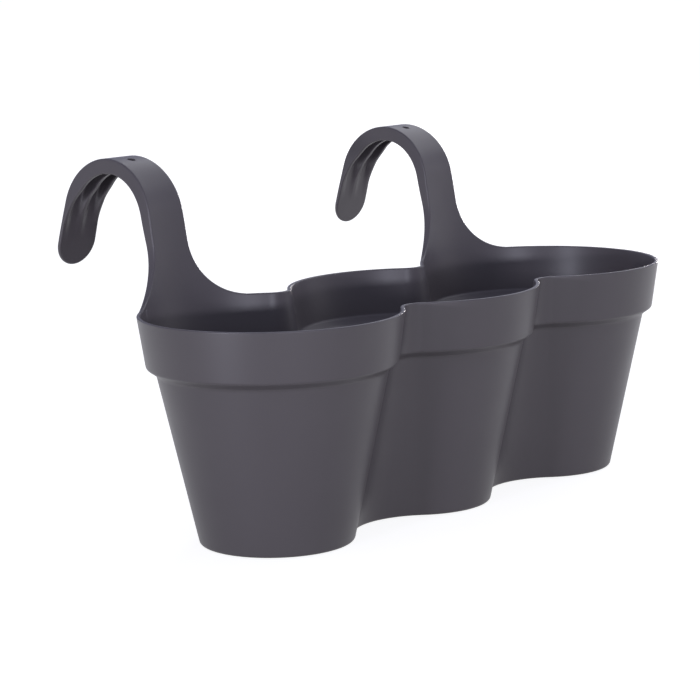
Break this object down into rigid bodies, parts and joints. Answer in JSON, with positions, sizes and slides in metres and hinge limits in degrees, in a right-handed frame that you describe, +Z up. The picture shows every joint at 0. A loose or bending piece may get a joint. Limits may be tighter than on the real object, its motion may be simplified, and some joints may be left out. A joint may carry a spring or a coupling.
{
  "type": "balcony planter",
  "caption": "Hanging balcony planter of round tapered cups joined in a row, with a collar rim, swan-neck rail hooks and push-in drain plugs.",
  "frame": {"origin": "centre of the middle cup's underside", "axes": "+X along the row of cups, +Y to the back where the hooks reach over the rail, +Z up"},
  "size_m": [0.496, 0.2923, 0.263],
  "materials": {
    "anthracite_plastic": "satin moulded",
    "plug_plastic": "soft matte"
  },
  "bodies": {
    "planter": {"planter_trough": "anthracite_plastic", "hook_left": "anthracite_plastic", "hook_right": "anthracite_plastic"},
    "plug_left": {"drain_plug_left": "plug_plastic"},
    "plug_middle": {"drain_plug_middle": "plug_plastic"},
    "plug_right": {"drain_plug_right": "plug_plastic"}
  },
  "joints": [
    {"name": "plug_left_pull", "type": "slide", "parent": "planter", "child": "plug_left", "axis": [0, 0, 1], "range_m": [0, 0.03]},
    {"name": "plug_middle_pull", "type": "slide", "parent": "planter", "child": "plug_middle", "axis": [0, 0, 1], "range_m": [0, 0.03]},
    {"name": "plug_right_pull", "type": "slide", "parent": "planter", "child": "plug_right", "axis": [0, 0, 1], "range_m": [0, 0.03]}
  ]
}
